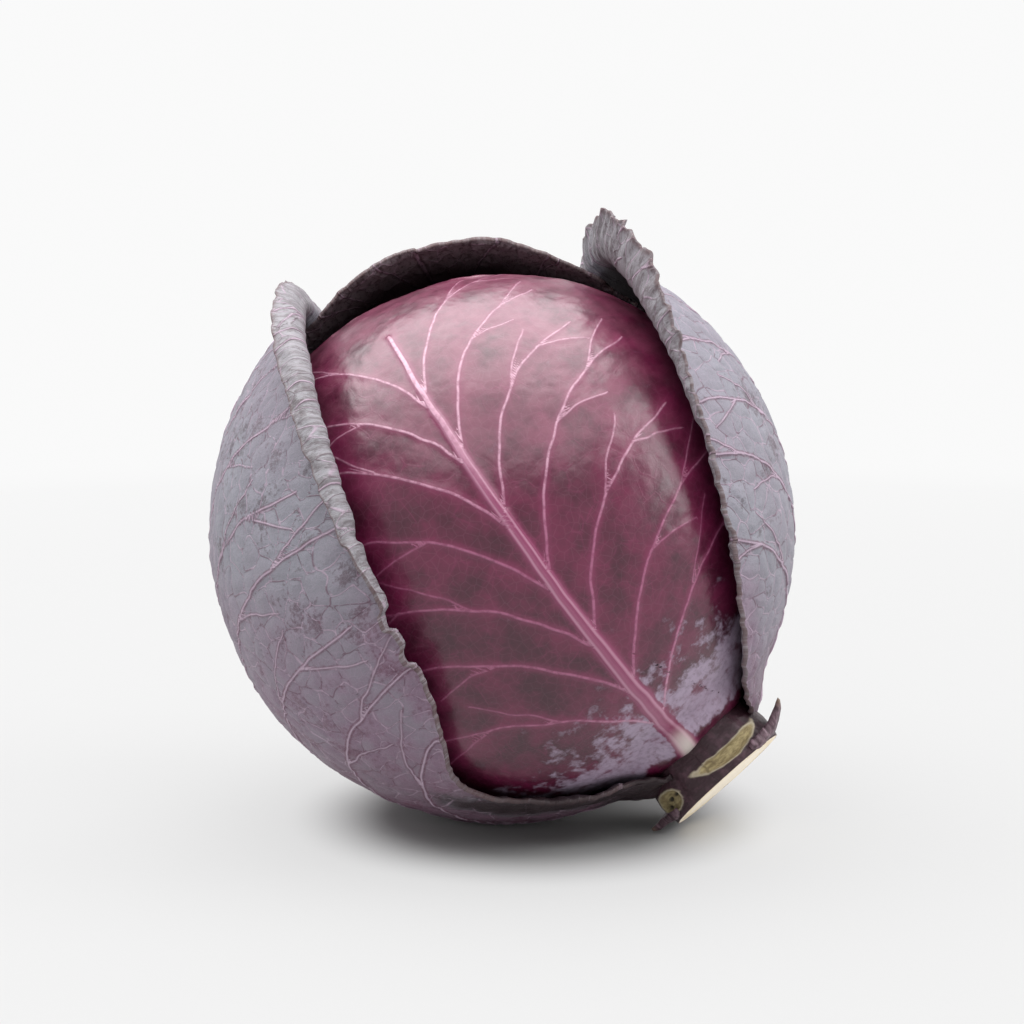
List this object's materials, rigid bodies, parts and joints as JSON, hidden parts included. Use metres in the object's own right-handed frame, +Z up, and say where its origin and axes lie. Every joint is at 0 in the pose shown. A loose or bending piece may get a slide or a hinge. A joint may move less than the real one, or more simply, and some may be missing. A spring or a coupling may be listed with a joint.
{
  "type": "red cabbage head",
  "caption": "Round red cabbage head lying on its side: tight purple head with a wrapper leaf, loose grey-lavender outer leaves, a cut stem and trimmed leaf stubs.",
  "frame": {"origin": "middle of the whole head's box seen from above, at the height of the surface it rests on", "axes": "+Z up. The stem points towards +X, down and a little towards -Y. The wrapper leaf of the head faces -Y, the front, and the back leaf +Y."},
  "size_m": [0.16, 0.1558, 0.1671],
  "materials": {
    "head_leaf": null,
    "outer_leaf": null,
    "cut_stem": null,
    "stem_skin": null
  },
  "bodies": {
    "root": {"tight_head": "head_leaf", "front_head_leaf": "head_leaf", "back_leaf": "outer_leaf", "lower_left_leaf": "outer_leaf", "right_leaf": "outer_leaf", "stem": "cut_stem", "upper_leaf_stub": "stem_skin", "lower_leaf_stub": "stem_skin"}
  },
  "joints": []
}
